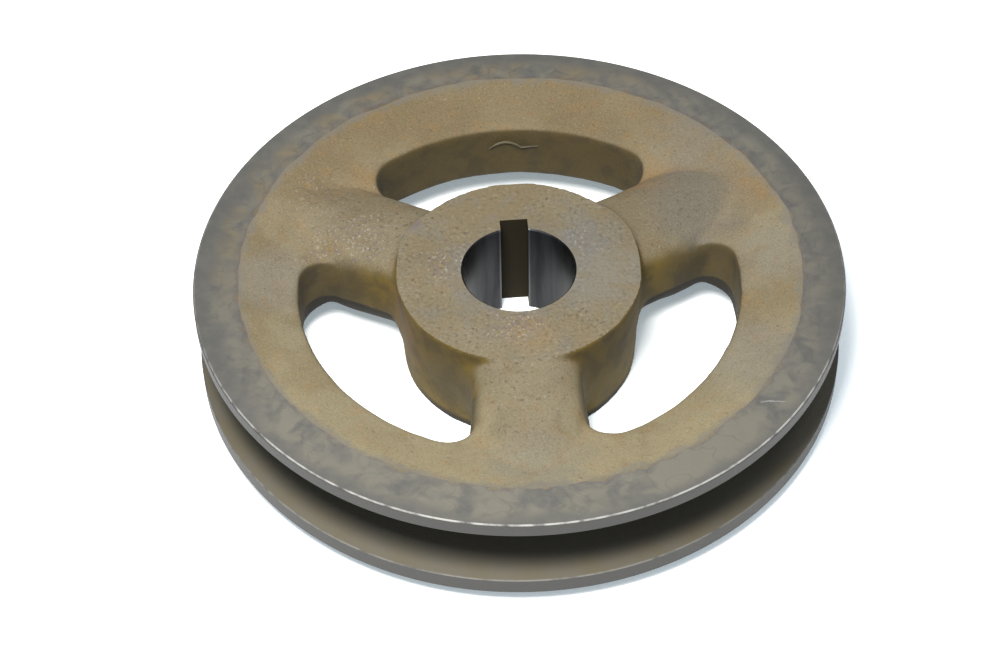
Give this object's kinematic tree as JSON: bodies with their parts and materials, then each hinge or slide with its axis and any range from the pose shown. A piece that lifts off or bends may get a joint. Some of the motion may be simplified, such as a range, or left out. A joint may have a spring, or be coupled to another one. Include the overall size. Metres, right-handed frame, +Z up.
{
  "type": "engine pulley",
  "caption": "Cast-iron V-belt pulley with a single groove, crowned spokes, a faced hub and a keyed bore, rusted brown with turned grey faces.",
  "frame": {"origin": "on the bore's axis, at the hub's lower face that the pulley rests on", "axes": "+Z up along the bore, +Y through the middle of the window beside the keyway"},
  "size_m": [0.146, 0.146, 0.026],
  "materials": {
    "cast_iron": "rusted rough casting with turned faces"
  },
  "bodies": {
    "root": {"pulley": "cast_iron"}
  },
  "joints": []
}
